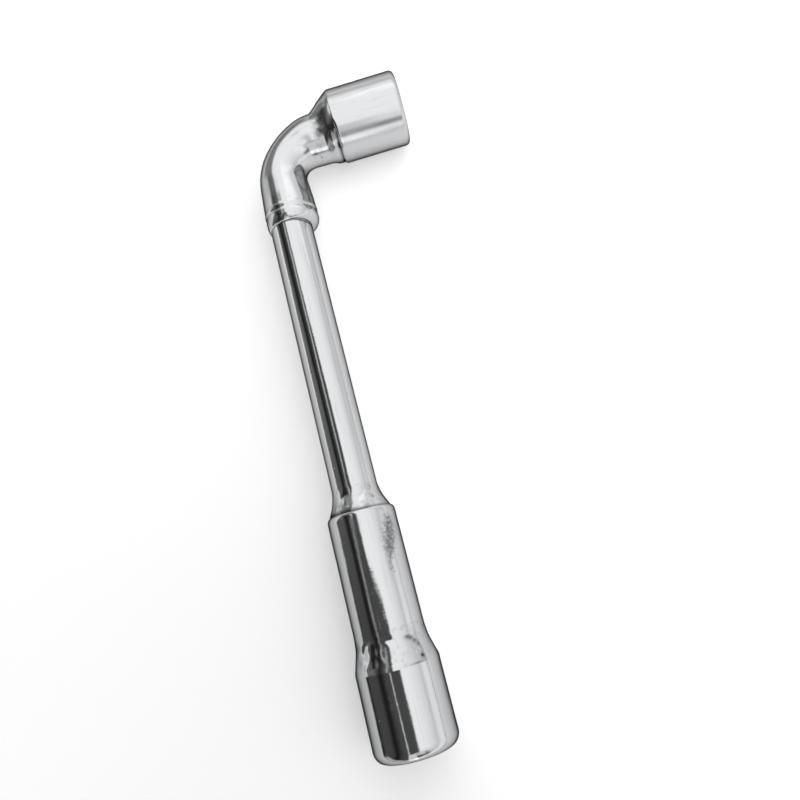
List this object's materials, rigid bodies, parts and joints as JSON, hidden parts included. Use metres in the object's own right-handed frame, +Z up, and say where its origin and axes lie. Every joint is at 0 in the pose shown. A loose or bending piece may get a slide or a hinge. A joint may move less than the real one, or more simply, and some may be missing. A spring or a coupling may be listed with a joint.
{
  "type": "l-shaped socket wrench",
  "caption": "L-shaped socket wrench in bright chromed steel, with a deep bored hexagon socket on the long arm and a matching hexagon socket on the bent short arm.",
  "frame": {"origin": "on the surface that the wrench lies on, under the middle of its outline", "axes": "+Y along the long arm from its mouth to the elbow, +X along the short arm from the elbow to its mouth, +Z up out of the plane of the L"},
  "size_m": [0.06, 0.213, 0.025],
  "materials": {
    "polished_chrome": "bright chromium plate over polished steel",
    "satin_chrome": "bright chromium plate over belt-ground steel, slightly satin",
    "weld_chrome": "bright chromium plate over ground weld, slightly uneven"
  },
  "bodies": {
    "root": {"long_socket": "polished_chrome", "long_socket_weld": "weld_chrome", "barrel": "polished_chrome", "barrel_weld": "weld_chrome", "shank": "polished_chrome", "elbow": "satin_chrome", "short_socket_weld": "weld_chrome", "short_socket": "satin_chrome"}
  },
  "joints": []
}
